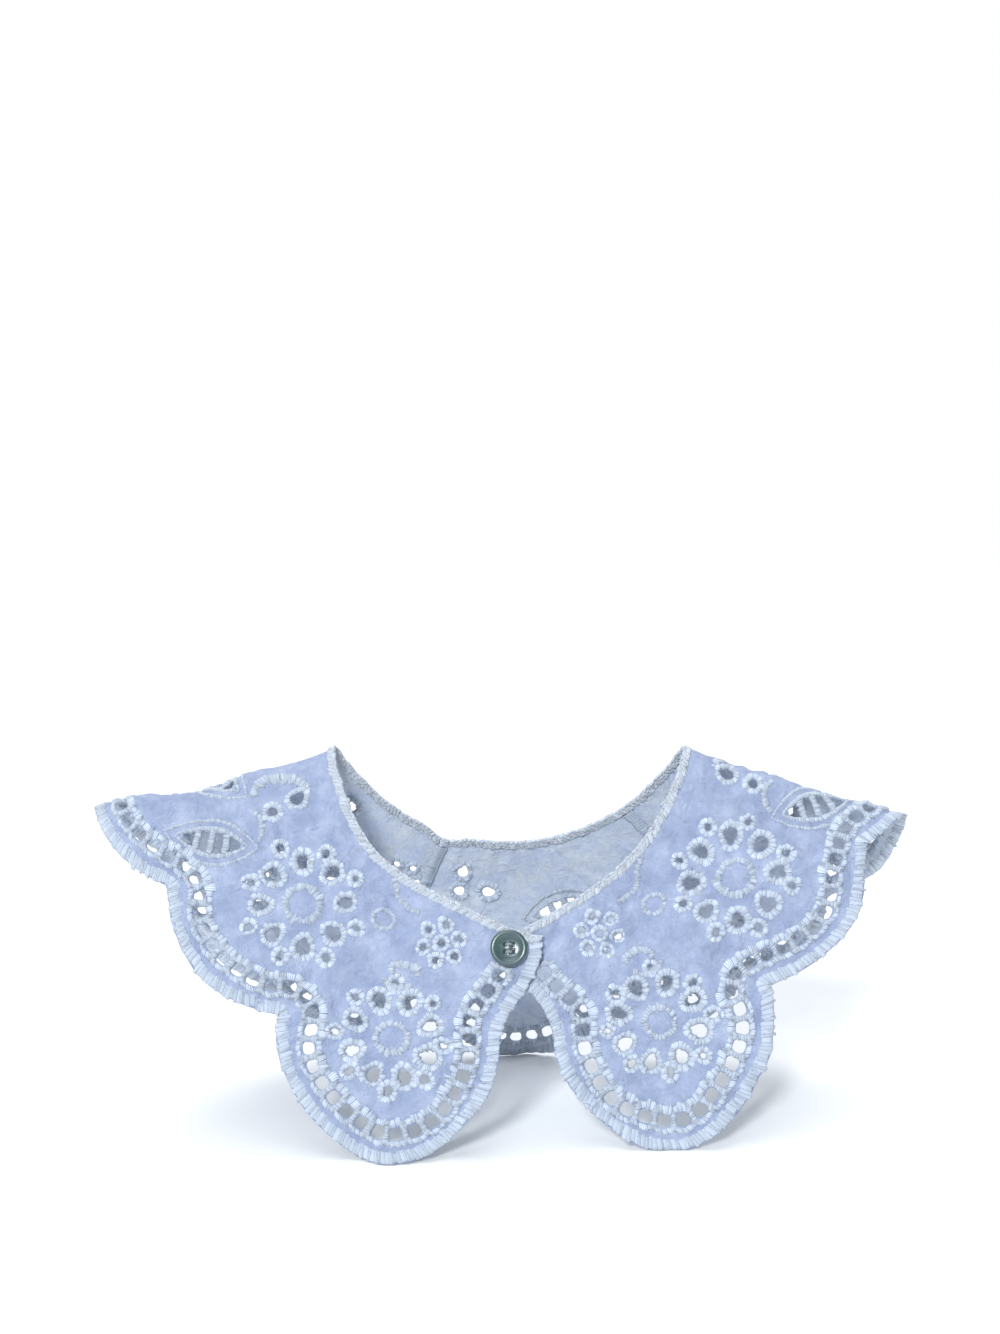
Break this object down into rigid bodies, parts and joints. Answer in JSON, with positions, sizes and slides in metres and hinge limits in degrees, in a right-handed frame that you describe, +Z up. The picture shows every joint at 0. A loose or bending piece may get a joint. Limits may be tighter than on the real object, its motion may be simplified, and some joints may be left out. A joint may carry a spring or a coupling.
{
  "type": "peter pan collar",
  "caption": "White cutwork cotton peter pan collar with scalloped edge, round front lobes and a shell button, standing folded over its shoulder lines.",
  "frame": {"origin": "centre of the bounding box on the table", "axes": "+Z up, the buttoned front faces -Y, +X runs along the shoulders to the viewer's right"},
  "size_m": [0.3294, 0.131, 0.151],
  "materials": {
    "cotton": "matte",
    "thread": "satin",
    "shell_button": "polished"
  },
  "bodies": {
    "root": {"front_left": "cotton", "front_right": "cotton", "back": "cotton", "seam_left": "thread", "seam_right": "thread", "neck_binding": "thread", "button": "shell_button", "button_shank": "thread"}
  },
  "joints": []
}
